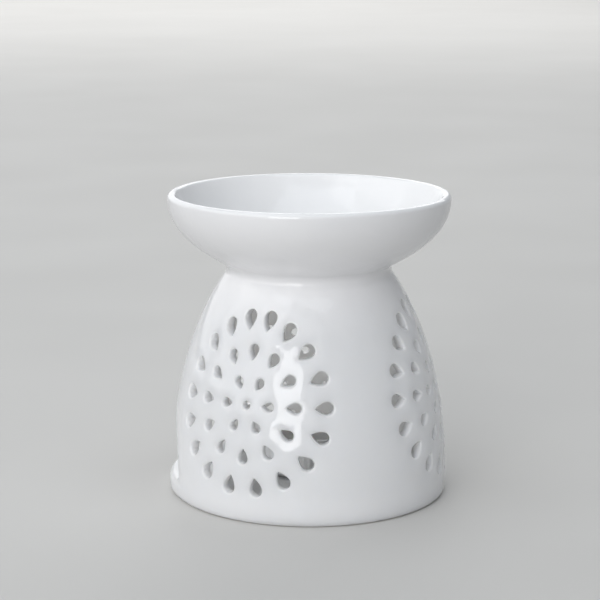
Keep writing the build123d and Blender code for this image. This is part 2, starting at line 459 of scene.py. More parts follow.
def grown(name: str, mesh: Mesh, tree: Tree, sizes: dict[str, object]) -> Mesh:
    """Runs a node tree on a mesh.

    Args:
        name: Name of the new mesh.
        mesh: The mesh that goes in.
        tree: The tree.
        sizes: Value of each named input.

    Returns:
        The plain mesh that comes out.
    """
    carrier = in_scene(name, mesh)
    modifier = carrier.modifiers.new(tree.name, "NODES")
    modifier.node_group = tree
    for socket in tree.interface.items_tree:
        if socket.in_out == "INPUT" and socket.name in sizes:
            modifier[socket.identifier] = sizes[socket.name]
    depsgraph = bpy.context.evaluated_depsgraph_get()
    result = bpy.data.meshes.new_from_object(carrier.evaluated_get(depsgraph), depsgraph=depsgraph)
    result.name = name
    bpy.data.objects.remove(carrier)
    bpy.data.meshes.remove(mesh)
    return result


def wrapped(name: str, draft: Draft, material: Material, count: int, step: float, first: float = 0.0,
            radius: float = 1.0) -> Mesh:
    """Repeats a flat panel and wraps it round the axis.

    Args:
        name: Name of the mesh.
        draft: The panel.
        material: Material of the mesh.
        count: How many times the panel is there.
        step: Bearing from one to the next, in radians.
        first: Bearing of the first, in radians.
        radius: Radius in metres at which the panel keeps its width.

    Returns:
        The mesh.
    """
    return grown(name, draft.mesh(), wrap_tree(), {
        "Count": count, "Wrap Radius": radius, "First Bearing": first, "Bearing Step": step,
        "Weld": WELD, "Material": material,
    })


def turned(name: str, sections: Sequence[Row], material: Material, count: int,
           thin_glaze_and_painted_light: Row | float = 0.0) -> Mesh:
    """Turns a section round the axis, step by step.

    Args:
        name: Name of the mesh.
        sections: Sections over one step, each with the radius and height of its points.
        material: Material of the mesh.
        count: Number of steps.
        thin_glaze_and_painted_light: How far each point of a section takes the pale tone, where the glaze
            thins and as painted light.

    Returns:
        The mesh.
    """
    step = math.tau / count
    places = np.linspace(0, step / MM, len(sections))
    columns = [np.c_[np.full(len(s), x), s] for x, s in zip(places, sections)]
    draft = Draft()
    draft.strips(columns, False, np.tile(thin_glaze_and_painted_light, len(sections)))
    return wrapped(name, draft, material, count, step)


def finished(name: str, meshes: Sequence[Mesh], material: Material, sharp: float = SHARP) -> Piece:
    """Joins meshes into one closed, smooth object.

    Args:
        name: Name of the piece.
        meshes: The meshes, which are used up.
        material: Material of the piece.
        sharp: Angle in degrees from which an edge stays sharp.

    Returns:
        The piece.
    """
    work = bmesh.new()
    for mesh in meshes:
        work.from_mesh(mesh)
        bpy.data.meshes.remove(mesh)
    bmesh.ops.remove_doubles(work, verts=work.verts, dist=WELD)
    bmesh.ops.dissolve_degenerate(work, edges=work.edges, dist=WELD)
    bmesh.ops.recalc_face_normals(work, faces=work.faces)
    if work.calc_volume(signed=True) < 0:
        bmesh.ops.reverse_faces(work, faces=work.faces)
    loose = sum(not edge.is_manifold for edge in work.edges)
    result = bpy.data.meshes.new(name)
    work.to_mesh(result)
    work.free()
    result.materials.clear()
    result.materials.append(material)
    result.shade_smooth()
    result.set_sharp_from_angle(angle=math.radians(sharp))
    log.info("%s: %d faces, %d open edges", name, len(result.polygons), loose)
    return in_scene(name, result)


def place(piece: Piece, body: Body, node: str) -> None:
    """Puts a finished piece in the frame in place of its node.

    Args:
        piece: The piece.
        body: Body that it moves with.
        node: Node that it stands for.
    """
    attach(piece, body.value)
    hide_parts(node)


def bezier(corners: Sequence[Row], steps: int) -> Row:
    """Returns the points of a cubic curve between four control points."""
    t = np.linspace(0, 1, steps + 1)[:, None]
    return sum(math.comb(3, i) * (1 - t) ** (3 - i) * t**i * corner for i, corner in enumerate(corners))


def arc(centre: Sequence[float], radius: float, start: float, end: float, steps: int) -> Row:
    """Returns the points of a round arc between two angles in degrees."""
    angle = np.radians(np.linspace(start, end, steps + 1))
    return np.array(centre) + radius * np.c_[np.cos(angle), np.sin(angle)]


def level(places: Row, *values: Row | float) -> Row:
    """Returns the places with one or more values added to each, such as the height of them all."""
    return np.column_stack([places, *(np.broadcast_to(value, len(places)) for value in values)])


def gaps(points: Row, edge: Row) -> Row:
    """Returns the distance from each point to the nearest corner of an edge."""
    return np.sqrt(((points[:, None] - edge[None]) ** 2).sum(-1)).min(axis=1)


def inside(points: Row, outline: Row) -> Row:
    """Tells which points lie inside an outline.

    Args:
        points: The points.
        outline: Corners of the outline, in order.

    Returns:
        True for each point that is inside.
    """
    x, y = points[:, :1], points[:, 1:]
    x0, y0 = outline.T
    x1, y1 = np.roll(outline, -1, axis=0).T
    rise = np.where(y1 == y0, LEVEL_RISE, y1 - y0)
    crossed = ((y0 > y) != (y1 > y)) & (x < (x1 - x0) * (y - y0) / rise + x0)
    return crossed.sum(axis=1) % 2 == 1


def sheet(outline: Row, holes: Sequence[Row], fill: Row, clear: float) -> tuple[Row, list[list[int]]]:
    """Fills an outline with triangles round its holes.

    Args:
        outline: Corners of the outline, in order.
        holes: Outlines of the holes.
        fill: Points to use inside, where they are clear of the edges.
        clear: Least distance of those points from an edge's corner.

    Returns:
        The points and the triangles.
    """
    loops = [outline, *holes]
    edge = np.vstack(loops)
    inner = fill[inside(fill, outline)]
    for hole in holes:
        inner = inner[~inside(inner, hole)]
    points = np.vstack([edge, inner[gaps(inner, edge) > clear]])
    edges, start = [], 0
    for loop in loops:
        size = len(loop)
        edges += [(start + i, start + (i + 1) % size) for i in range(size)]
        start += size
    made = geometry.delaunay_2d_cdt([Vector(p) for p in points], edges, [], 0, SAME)
    corners = np.array([tuple(v) for v in made[0]])
    faces = np.array(made[2])
    middle = corners[faces].mean(axis=1)
    (ax, ay), (bx, by) = (corners[faces[:, i]].T - corners[faces[:, 0]].T for i in (1, 2))
    keep = inside(middle, outline) & (np.abs(ax * by - ay * bx) > SLIVER)
    for hole in holes:
        keep &= ~inside(middle, hole)
    return corners, faces[keep].tolist()


def honeycomb(width: float, low: float, high: float, pitch: float) -> Row:
    """Spreads points evenly over a band.

    Args:
        width: Half the width of the band.
        low: Its lower edge.
        high: Its upper edge.
        pitch: Distance between the points.

    Returns:
        The points.
    """
    rows = np.arange(low + pitch / 2, high, pitch * math.sqrt(3) / 2)
    steps = np.arange(-math.ceil(width / pitch), math.ceil(width / pitch) + 1) * pitch
    return np.vstack([level(steps + pitch / 2 * (i % 2), row) for i, row in enumerate(rows)])


@dataclass
class Teardrop:
    """One hole of a rosette, or the round one in its middle.

    Attributes:
        along: Place of its middle along the wall, at the wrap radius.
        height: Height of its middle.
        lean: Angle of its round end from the rosette's middle, in radians.
        tip: Radius that its point is softened to.
        swell: How far its sides swell, from straight at 0 to a half round at 1.
    """

    along: float
    height: float
    lean: float
    length: float
    width: float
    tip: float = 0.35
    swell: float = 0.5
    bulb_steps: int = 14
    side_steps: int = 5
    tip_steps: int = 4

    def outline(self, offset: float) -> Row:
        """Draws the outline, grown by an offset.

        Args:
            offset: How far out the outline is moved.

        Returns:
            Sideways and upward distances from the hole's middle.
        """
        bulb = self.width / 2
        if self.length <= self.width:
            count = self.bulb_steps + 2 * self.side_steps + self.tip_steps
            return arc((0, 0), bulb + offset, 0, 360, count)[:-1]
        span = self.length - bulb
        lean = math.asin(bulb / span) * (1 - self.swell)
        drift = span * math.sin(lean)
        side = (span**2 + bulb**2 - 2 * drift * bulb) / (2 * (bulb - drift))
        bulb_x = self.length / 2 - bulb
        side_x = bulb_x + (side - bulb) * math.sin(lean)
        side_y = (side - bulb) * math.cos(lean)
        point_x = side_x - math.sqrt((side - self.tip) ** 2 - side_y**2)
        start = 90 + math.degrees(lean)
        end = math.degrees(math.atan2(side_y, point_x - side_x))
        drop = np.vstack([
            arc((bulb_x, 0), bulb + offset, -start, start, self.bulb_steps),
            arc((side_x, -side_y), side + offset, start, end, self.side_steps)[1:],
            arc((point_x, 0), self.tip + offset, end, 360 - end, self.tip_steps)[1:],
            arc((side_x, side_y), side + offset, 360 - end, 360 - start, self.side_steps)[1:-1],
        ])
        cosine, sine = math.cos(self.lean), math.sin(self.lean)
        return drop @ np.array([[cosine, sine], [-sine, cosine]])


@dataclass
class PiercedBell:
    """Bell-shaped body: wall with three rosettes, arch, sill, floor and foot ring in one casting.

    The glaze dips beside the openings. Panels of the wall widen from narrow to broad degrees on each side,
    and have a column of points every few degrees.
    """

    base_radius: float = 52.5
    neck_radius: float = 31.8
    neck_height: float = 84.6
    lower_swell: float = 2.05
    lower_swell_height: float = 31.0
    shoulder_reach: float = 14.6
    shoulder_drop: float = 20.4
    wall: float = 4.0
    hearth: float = 8.0
    hearth_round: float = 4.0
    # Painted light: share of the pale tone painted on the floor inside and on the arch's walls.
    hearth_painted_light: float = 0.2
    hearth_rings: tuple[float, ...] = (1.0, 0.75, 0.45, 0.2, 0.0)
    foot_recess: float = 2.5
    foot_ring_inner: float = 44.0
    foot_round: float = 2.0
    foot_steps: int = 5
    recess_rings: tuple[float, ...] = (1.0, 0.6, 0.25, 0.0)
    biscuit_height: float = 0.3
    biscuit_facing: float = -0.9
    sill_radius: float = 48.15
    sill_centre: float = 5.8
    sill_round: float = 3.0
    crease: float = 0.38
    arch_radius: float = 28.35
    arch_rim: float = 1.2
    arch_corner_bearing: float = 37.0
    arch_steps: int = 56
    corner_steps: int = 4
    wrap_radius: float = 49.7
    rosette_centre: float = 43.35
    rosette_step: float = 104.8
    rings: tuple[tuple[float, int, float, float], ...] = (
        (8.641, 6, 4.5, 3.3), (18.538, 12, 5.6, 3.9), (29.9, 18, 7.0, 4.9),
    )
    eye: float = 3.0
    rim_width: float = 0.85
    rim_depth: float = 0.65
    rim_steps: int = 5
    inner_rim: float = 0.4
    hold: float = 0.3
    dip: float = 0.16
    dip_width: float = 2.4
    column: float = 2.0
    narrow: float = 32.2
    broad: float = 43.0
    broad_height: float = 30.0
    side_rows: int = 42
    inner_side_rows: int = 40
    pitch: float = 1.6
    clear: float = 0.72
    inner_pitch: float = 1.92
    inner_clear: float = 0.8
    samples: int = 2400

    def __post_init__(self) -> None:
        """Works out the curves of the wall."""
        shoulder = np.array([-self.shoulder_reach, self.shoulder_drop])
        shoulder = shoulder / np.hypot(*shoulder)
        normal = np.array([shoulder[1], -shoulder[0]])
        foot = np.array([self.base_radius, 0])
        swell = np.array([self.base_radius + self.lower_swell, self.lower_swell_height])
        handle = np.array([self.neck_radius + self.shoulder_reach, self.neck_height - self.shoulder_drop])
        neck = np.array([self.neck_radius, self.neck_height])
        inset = np.array([self.wall, 0])
        inner = (foot - inset, swell - inset, handle - normal * self.wall, neck - inset / normal[0])
        self.outside = bezier((foot, swell, handle, neck), self.samples)
        self.inside = bezier(inner, self.samples)
        self.hearth_top = self.hearth + self.hearth_round
        self.inner_start = self.hearth_top - self.hearth_round * math.pi / 2
        self.floor_radius = float(self.inner_wall(self.inner_start)[0])
        self.reach = self.along(self.narrow + self.broad)
        self.rim_turns = np.linspace(0, math.pi / 2, self.rim_steps + 1)

    def along(self, bearing: Row | float) -> Row | float:
        """Returns the place along the wall at each bearing in degrees."""
        return np.radians(bearing) * self.wrap_radius

    def across(self, sideways: Row, radius: Row) -> Row:
        """Returns the place along the wall of points at a sideways distance and a radius."""
        return np.arcsin(sideways / radius) * self.wrap_radius

    def bell(self, height: Row) -> Row:
        """Returns the outside radius of the plain bell at each height."""
        return np.interp(height, self.outside[:, 1], self.outside[:, 0])

    def outer(self, kind: PanelKind, along: Row, height: Row) -> Row:
        """Finds the outside radius of a panel. The sill swells out of the one with the arch.

        Args:
            kind: The panel.
            along: Place along the wall, from the middle of the panel.
            height: Height.

        Returns:
            The radius at each place.
        """
        bell = self.bell(height)
        if kind is not PanelKind.ARCH:
            return bell
        bearing, bend = along / self.wrap_radius, self.sill_round
        chord = np.sqrt(self.sill_radius**2 - (self.sill_centre * np.sin(bearing)) ** 2)
        edge = self.sill_centre * np.cos(bearing) + chord
        rise = np.clip(height - (self.hearth - bend), 0, bend)
        sill = np.where(rise < bend, edge - bend + np.sqrt(bend**2 - rise**2), 0)
        near = np.clip(1 - np.abs(sill - bell) / self.crease, 0, 1)
        return np.maximum(sill, bell) + near**2 * self.crease / 4

    def inner_wall(self, run: Row | float) -> tuple[Row, Row]:
        """Finds a point of the inside by its run up the wall from the floor's round corner.

        Args:
            run: Height above the corner, and length along the arc in it.

        Returns:
            The radius and the height.
        """
        turn = np.clip((self.hearth_top - run) / self.hearth_round, 0, math.pi / 2)
        height = np.where(turn > 0, self.hearth_top - self.hearth_round * np.sin(turn), run)
        wall = np.interp(np.maximum(run, self.hearth_top), self.inside[:, 1], self.inside[:, 0])
        return wall - self.hearth_round * (1 - np.cos(turn)), height

    def inner_run(self, height: Row) -> Row:
        """Returns the run up the inside wall at each height."""
        low = np.clip((self.hearth_top - height) / self.hearth_round, 0, 1)
        return np.where(low > 0, self.hearth_top - self.hearth_round * np.arcsin(low), height)

    def half_width(self, kind: PanelKind, height: Row | float, low: float) -> Row:
        """Finds half the width of a panel, in degrees.

        Args:
            kind: The panel.
            height: Height, or run up the inside.
            low: Lowest height of the panel.

        Returns:
            Half the width at each height.
        """
        share = np.clip((height - low) / (self.broad_height - low), 0, 1)
        rosette = self.narrow + (self.broad - self.narrow) * share
        if kind is PanelKind.ROSETTE:
            return rosette
        return (self.rosette_step / 2 if kind is PanelKind.PLAIN else 180 - self.rosette_step) - rosette

    def columns(self, kind: PanelKind, height: float, low: float) -> Row:
        """Returns the places along the wall of the columns at the top or bottom of a panel."""
        half = float(self.half_width(kind, height, low))
        return self.along(np.linspace(-half, half, round(2 * half / self.column) + 1))

    def frame_of(self, kind: PanelKind, low: float, rows: int) -> Row:
        """Draws the outline of a panel, anticlockwise from its lower left corner.

        Args:
            kind: The panel.
            low: Lowest height of the panel.
            rows: Steps up each side.

        Returns:
            The outline.
        """
        up = np.linspace(low, self.neck_height, rows + 1)[1:-1]
        side = self.along(self.half_width(kind, up, low))
        return np.vstack([
            level(self.columns(kind, low, low), low),
            np.c_[side, up],
            level(self.columns(kind, self.neck_height, low), self.neck_height)[::-1],
            np.c_[-side, up][::-1],
        ])

    def holes(self) -> list[Teardrop]:
        """Returns the holes of one rosette."""
        drops = [Teardrop(0, self.rosette_centre, 0, self.eye, self.eye)]
        for distance, count, length, width in self.rings:
            for step in range(count):
                lean = math.tau / count * step
                along, up = distance * math.cos(lean), distance * math.sin(lean)
                drops.append(Teardrop(along, self.rosette_centre + up, lean, length, width))
        return drops

    def rim_rows(self, width: float, depth: float) -> list[Span]:
        """Returns the offset and depth of each row of a rounded rim, from the flat wall into the hole."""
        bend = [(width * (1 - math.sin(turn)), depth * (1 - math.cos(turn))) for turn in self.rim_turns]
        return [(width + self.hold, 0.0), *bend]

    def drop_rows(self, drop: Teardrop) -> list[Row]:
        """Draws the rows of one hole from the outside of the wall to the inside.

        Args:
            drop: The hole.

        Returns:
            The rows.
        """
        rows = []
        for offset, depth in self.rim_rows(self.rim_width, self.rim_depth):
            sideways, up = drop.outline(offset).T
            radius = self.bell(drop.height + up)
            rows.append((sideways, radius, radius - self.dip - depth, drop.height + up))
        for offset, depth in self.rim_rows(self.inner_rim, self.inner_rim)[::-2]:
            sideways, up = drop.outline(offset).T
            radius, height = self.inner_wall(self.inner_run(drop.height + up))
            rows.append((sideways, radius, radius + depth, height))
        return [np.c_[drop.along + s * self.wrap_radius / r, y, z] for s, r, y, z in rows]

    def arch_outline(self, offset: float) -> Row:
        """Draws the arch, grown by an offset, anticlockwise from the right end of its threshold.

        Args:
            offset: How far out the outline is moved.

        Returns:
            Sideways distances and heights.
        """
        end = self.floor_radius * math.sin(math.radians(self.arch_corner_bearing))
        corner = self.arch_radius - end
        right = arc((end, self.hearth + corner), corner + offset, -90, 0, self.corner_steps)
        low = math.degrees(math.asin(corner / (self.arch_radius + offset)))
        span = arc((0, self.hearth), self.arch_radius + offset, low, 180 - low, self.arch_steps)
        left = right[::-1] * (-1, 1)
        bearings = np.arange(-self.arch_corner_bearing, self.arch_corner_bearing + 1, self.column)[1:-1]
        threshold = level(self.floor_radius * np.sin(np.radians(bearings)), self.hearth - offset)
        return np.vstack([right[:-1], span, left[1:], threshold])

    def arch_rows(self) -> list[Row]:
        """Returns the rows of the arch, from the outside of the wall to the inside."""
        rows = []
        for offset, depth in self.rim_rows(self.arch_rim, self.arch_rim):
            sideways, height = self.arch_outline(offset).T
            along = self.across(sideways, self.bell(height))
            radius = self.outer(PanelKind.ARCH, along, height) - self.dip - depth
            rows.append((sideways, radius, radius, height))
        plain = self.arch_outline(0)
        fade = np.clip((plain[:, 1] - self.hearth) / self.hearth_round, 0, 1)
        for offset, depth in self.rim_rows(self.inner_rim, self.inner_rim)[::-2]:
            sideways, height = (plain + (self.arch_outline(offset) - plain) * fade[:, None]).T
            radius, height = self.inner_wall(self.inner_run(height))
            rows.append((sideways, radius, radius + depth * fade, height))
        return [np.c_[self.across(s, r), y, z] for s, r, y, z in rows]

    def panel(self, kind: PanelKind) -> Draft:
        """Drafts a flat panel: both sides of the wall, its holes, and its share of floor, foot and neck.

        Args:
            kind: The panel.

        Returns:
            The draft.
        """
        draft = Draft()
        # Walls of the openings take the pale tone: glaze that thins there, and painted light; the arch's
        # walls take the hearth's share.
        openings, thin_glaze_and_painted_light = [], 1.0
        fill = honeycomb(self.reach, self.foot_round, self.neck_height, self.pitch)
        if kind is PanelKind.ROSETTE:
            openings = [self.drop_rows(drop) for drop in self.holes()]
        if kind is PanelKind.ARCH:
            openings, thin_glaze_and_painted_light = [self.arch_rows()], self.hearth_painted_light
            fine = honeycomb(self.reach, self.foot_round, self.hearth, self.pitch / 2)
            fill = np.vstack([fill[fill[:, 1] > self.hearth], fine])
        shares = [0.0, *np.sin(2 * self.rim_turns)]
        for rows in openings:
            draft.strips(rows, True, shares + [thin_glaze_and_painted_light] * (len(rows) - len(shares)))
        edges = [rows[0][:, [0, 2]] for rows in openings]
        skin, faces = sheet(self.frame_of(kind, self.foot_round, self.side_rows), edges, fill, self.clear)
        radius = self.outer(kind, *skin.T) - self.hollow(skin, edges)
        draft.add(np.c_[skin[:, 0], radius, skin[:, 1]], faces)
        self.inner_skin(draft, kind, openings)
        self.ends(draft, kind)
        return draft

    def hollow(self, places: Row, edges: Sequence[Row]) -> Row | float:
        """Returns how far the glaze has drawn back at each place, near the edges of the openings."""
        gap = gaps(places, np.vstack(edges)) if edges else math.inf
        return self.dip * np.clip(1 - gap / self.dip_width, 0, 1) ** 2

    def inner_skin(self, draft: Draft, kind: PanelKind, openings: Sequence[Sequence[Row]]) -> None:
        """Adds the inside of the wall to a panel.

        Args:
            draft: The panel's draft.
            kind: The panel.
            openings: Rows of each opening in the panel.
        """
        outline = self.frame_of(kind, self.inner_start, self.inner_side_rows)
        cuts = [np.c_[rows[-1][:, 0], self.inner_run(rows[-1][:, 2])] for rows in openings]
        if kind is PanelKind.ARCH:
            cut = cuts.pop()
            over = cut[cut[:, 1] > self.inner_start + SAME]
            edge = self.along(self.arch_corner_bearing)
            foot = outline[:, 1] < self.inner_start + SAME
            left = outline[foot & (outline[:, 0] < -edge + SAME)]
            right = outline[foot & (outline[:, 0] > edge - SAME)]
            outline = np.vstack([left, over[::-1], right, outline[~foot]])
        fill = honeycomb(self.reach, self.inner_start, self.neck_height, self.inner_pitch)
        skin, faces = sheet(outline, cuts, fill, self.inner_clear)
        radius, height = self.inner_wall(skin[:, 1])
        # Painted light: the inside of the wall takes the full pale tone, standing in for light that fills
        # the hollow.
        draft.add(np.c_[skin[:, 0], radius, height], faces, 1.0)

    def ends(self, draft: Draft, kind: PanelKind) -> None:
        """Adds the floor, the foot and the top of the neck to a panel.

        Args:
            draft: The panel's draft.
            kind: The panel.
        """
        bend, top = self.foot_round, self.neck_height
        foot = self.columns(kind, bend, bend)
        edge = self.outer(kind, foot, np.full(len(foot), bend))
        turns = np.linspace(0, math.pi / 2, self.foot_steps + 1)
        rows = [(edge - bend * (1 - math.cos(turn)), bend * (1 - math.sin(turn))) for turn in turns]
        recess = self.foot_ring_inner - self.foot_recess
        rows.append((self.foot_ring_inner, 0.0))
        rows += [(recess * share, self.foot_recess) for share in self.recess_rings]
        draft.strips([level(foot, *row) for row in rows], False)
        inner = self.columns(kind, self.inner_start, self.inner_start)
        floor = [level(inner, self.floor_radius * share, self.hearth) for share in self.hearth_rings]
        # Painted light: the floor inside is painted part of the way to the pale tone.
        draft.strips(floor, False, self.hearth_painted_light)
        head = self.columns(kind, top, bend)
        bore = float(self.inner_wall(top)[0])
        draft.strips([level(head, radius, top) for radius in (self.neck_radius, bore)], False)

    def build(self) -> Piece:
        """Returns the bell, made of its panels."""
        turns = {
            PanelKind.ROSETTE: (3, -self.rosette_step),
            PanelKind.PLAIN: (2, -self.rosette_step / 2),
            PanelKind.ARCH: (1, 180.0),
        }
        glaze, step = GLAZE.material(), math.radians(self.rosette_step)
        meshes = [
            wrapped(f"{kind.value}_panel", self.panel(kind), glaze, count, step, math.radians(first),
                    self.wrap_radius * MM)
            for kind, (count, first) in turns.items()
        ]
        return finished("pierced_bell", meshes, glaze)

    def dress(self, piece: Piece) -> None:
        """Leaves the ring that the bell stands on unglazed.

        Args:
            piece: The bell.
        """
        piece.data.materials.append(BISCUIT.material())
        for face in piece.data.polygons:
            if face.center.z < self.biscuit_height * MM and face.normal.z < self.biscuit_facing:
                face.material_index = 1


@dataclass
class OilDish:
    """Dish that closes the neck: a tight hollow curve, a wide flare and a rounded rim."""

    neck_radius: float = 31.8
    neck_height: float = 84.6
    bore_radius: float = 26.88
    shoulder_lean: float = 35.59
    neck_round: float = 2.8
    neck_steps: int = 30
    flare_angle: float = 57.0
    flare: float = 7.5
    side: float = 14.0
    side_steps: int = 36
    rim_radius: float = 53.5
    rim_thickness: float = 3.4
    rim_steps: int = 14
    height: float = 115.0
    inner_side: float = 9.0
    inner_lean: float = 25.0
    floor_spread: float = 14.0
    floor_radius: float = 24.0
    floor_height: float = 90.6
    floor_rings: tuple[float, ...] = (0.75, 0.5, 0.25, 0.0)
    ceiling: float = 86.4
    ceiling_slope: float = 1.5
    ceiling_edge: float = 0.4
    rim_fade: int = 16
    # Painted light: highest share of the pale tone painted over the inside of the dish.
    inside_painted_light: float = 0.55
    columns: int = 180

    def profile(self) -> Row:
        """Returns the profile, from the middle of the ceiling round to the middle of the floor."""
        lean, tilt = math.radians(self.shoulder_lean), math.radians(self.inner_lean)
        away = math.radians(90 - self.flare_angle)
        neck = np.array([self.neck_radius, self.neck_height])
        middle = neck + self.neck_round * np.array([math.cos(lean), math.sin(lean)])
        start, end = 180 + self.shoulder_lean, 180 - self.flare_angle
        hollow = arc(middle, self.neck_round, start, end, self.neck_steps)
        flare = hollow[-1] + self.flare * np.array([math.cos(away), math.sin(away)])
        lip = self.rim_thickness / 2
        outer = np.array([self.rim_radius, self.height - lip])
        rim = arc(outer - (lip, 0), lip, 0, 180 - self.inner_lean, self.rim_steps)
        down = rim[-1] - self.inner_side * np.array([math.sin(tilt), math.cos(tilt)])
        floor = np.array([self.floor_radius, self.floor_height])
        ceiling = np.array([self.bore_radius - self.ceiling_slope, self.ceiling])
        return np.vstack([
            [(0, self.ceiling), ceiling * (0.5, 1), ceiling - (self.ceiling_edge, 0), ceiling],
            [(self.bore_radius, self.neck_height)],
            hollow,
            bezier((hollow[-1], flare, outer - (0, self.side), outer), self.side_steps)[1:],
            rim[1:],
            bezier((rim[-1], down, floor + (self.floor_spread, 0), floor), self.side_steps)[1:],
            [(self.floor_radius * share, self.floor_height) for share in self.floor_rings],
        ])

    def build(self) -> Piece:
        """Returns the dish, paler on the rim where the glaze thins, and with painted light from there on
        inwards.
        """
        profile, glaze = self.profile(), GLAZE.material()
        past_top = np.arange(len(profile)) - profile[:, 1].argmax()
        # Pale on the lip where the glaze thins, then painted light over the inside, held at
        # inside_painted_light.
        thin_glaze_and_painted_light = np.clip(past_top / self.rim_fade + 0.5, 0, self.inside_painted_light)
        mesh = turned("dish_turning", [profile] * 2, glaze, self.columns, thin_glaze_and_painted_light)
        return finished("glazed_dish", [mesh], glaze)


@dataclass
class Tealight:
    """Tealight: fluted foil cup, wax tablet and twisted wick; the sustainer under the wax keeps its solid.

    The rows of the cup hold a radius from its outside or inside, a height from its floor or top, and the
    share of the flutes' depth there.
    """

    floor: float = 8.0
    cup_radius: float = 18.8
    cup_height: float = 15.5
    cup_wall: float = 0.4
    cup_corner: float = 1.2
    cup_bend: float = 80.0
    cup_foot: float = 1.6
    outer_low: tuple[Triple, ...] = ((0, 2.0, 0.6), (0, 4.0, 1.0))
    outer_high: tuple[Triple, ...] = ((0, -3.2, 1.0), (0, -1.8, 0.3), (0, -1.2, 0))
    inner_high: tuple[Triple, ...] = (
        (0.25, -0.03, 0), (0.04, -0.2, 0), (0, -0.6, 0), (0, -1.8, 0.3), (0, -3.2, 1.0),
    )
    inner_low: tuple[Triple, ...] = ((0, 4.0, 1.0), (0, 2.0, 0.5), (0, 1.2, 0))
    hem_round: float = 0.5
    hem_reach: float = 0.03
    hem_turn: Span = (-110.0, 90.0)
    corner_steps: int = 5
    inner_corner_steps: int = 4
    hem_steps: int = 9
    flutes: int = 52
    flute_columns: int = 6
    flute_depth: float = 0.2
    wax_radius: float = 18.15
    wax_height: float = 12.6
    wax_edge: float = 0.8
    wax_edge_steps: int = 6
    wax_bore: float = 1.45
    wax_lip: float = 0.3
    wax_rings: int = 22
    wax_columns: int = 120
    meniscus: float = 0.35
    meniscus_width: float = 2.5
    unevenness: float = 0.07
    uneven_waves: float = 0.16
    uneven_depth: float = 1.2
    uneven_fade: float = 0.6
    sustainer_seat: float = 6.7
    sustainer_thickness: float = 0.6
    wick_bottom: float = 8.8
    wick_top: float = 27.5
    strands: int = 3
    strand_radius: float = 0.4
    strand_sides: int = 10
    twist_radius: float = 0.34
    twist_turns: float = 4.5
    twist_steps: int = 12
    sharp: float = 50.0
    wick_sharp: float = 60.0

    def cup_profile(self) -> Row:
        """Returns radius, height and depth of the flutes at each point of the cup's section."""
        outer, inner = self.cup_radius, self.cup_radius - self.cup_wall
        low, high = self.floor, self.floor + self.cup_height
        sole, corner = low + self.cup_wall, self.cup_corner
        bend = corner - self.cup_wall
        under = arc((outer - corner, low + corner), corner, -self.cup_bend, 0, self.corner_steps)
        middle = (outer + self.hem_reach, high - self.hem_round)
        hem = arc(middle, self.hem_round, *self.hem_turn, self.hem_steps)
        over = arc((inner - bend, sole + bend), bend, 0, -self.cup_bend, self.inner_corner_steps)
        return np.vstack([
            [(0, low, 0), (outer * 0.5, low, 0), (outer - self.cup_foot, low, 0)],
            level(under, 0),
            np.array(self.outer_low) + (outer, low, 0),
            np.array(self.outer_high) + (outer, high, 0),
            level(hem, 0),
            np.array(self.inner_high) + (inner, high, 0),
            np.array(self.inner_low) + (inner, low, 0),
            level(over, 0),
            [(outer * 0.5, sole, 0), (0, sole, 0)],
        ])

    def cup(self) -> Piece:
        """Returns the fluted cup, made of one flute."""
        radius, height, deep = self.cup_profile().T
        shares = np.linspace(0, 1, self.flute_columns + 1)
        waves = [(math.cos(math.tau * share) - 1) / 2 * self.flute_depth for share in shares]
        sections = [np.c_[radius + wave * deep, height] for wave in waves]
        foil = ALUMINIUM.material()
        mesh = turned("cup_flutes", sections, foil, self.flutes)
        return finished("tealight_foil", [mesh], foil, self.sharp)

    def wax(self) -> Piece:
        """Returns the wax tablet, with a raised edge and a slightly uneven top."""
        low, corner, bore = self.floor + self.cup_wall, self.cup_corner, self.wax_bore
        high, flat = low + self.wax_height, self.wax_radius - self.wax_edge
        seat = low + self.sustainer_thickness
        top = np.linspace(flat, bore + self.wax_lip, self.wax_rings)
        sink = np.clip((flat - top) / self.meniscus_width, 0, 1)
        profile = np.vstack([
            [(bore, seat), (self.sustainer_seat, seat), (self.sustainer_seat, low)],
            [(self.wax_radius - corner, low), (self.wax_radius, low + corner)],
            arc((flat, high - self.wax_edge), self.wax_edge, 0, 90, self.wax_edge_steps),
            np.c_[top, high - self.meniscus * sink**2 * (3 - 2 * sink)][1:],
            [(bore, high - self.meniscus - self.wax_lip), (bore, seat)],
        ])
        paraffin = PARAFFIN.material()
        mesh = turned("tablet_turning", [profile] * 2, paraffin, self.wax_columns)
        piece = finished("tealight_tablet", [mesh], paraffin, self.sharp)
        for vertex in piece.data.vertices:
            share = np.clip((vertex.co.z / MM - high + self.uneven_depth) / self.uneven_fade, 0, 1)
            spot = Vector((vertex.co.x, vertex.co.y, 0)) / MM * self.uneven_waves
            vertex.co.z += noise.noise(spot) * self.unevenness * MM * share
        return piece

    def wick(self) -> Piece:
        """Returns the wick, made of twisted strands."""
        bottom, cotton = self.wick_bottom + self.strand_radius, COTTON.material()
        length = self.wick_top - self.strand_radius - bottom
        mesh = grown("wick_strands", bpy.data.meshes.new("wick_start"), strand_tree(), {
            "Strands": self.strands, "Strand Radius": self.strand_radius * MM,
            "Strand Sides": self.strand_sides, "Twist Radius": self.twist_radius * MM,
            "Turns": self.twist_turns, "Turn Steps": self.twist_steps,
            "Bottom": bottom * MM, "Length": length * MM, "Material": cotton,
        })
        return finished("tealight_wick", [mesh], cotton, self.wick_sharp)

    def dress(self) -> None:
        """Gives the sustainer's own solid a tinned finish."""
        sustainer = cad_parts["wick_sustainer"]
        if not sustainer.material_slots:
            sustainer.data.materials.append(None)
        for slot in sustainer.material_slots:
            slot.material = TIN.material()
        log.info("wick_sustainer: keeps its solid")


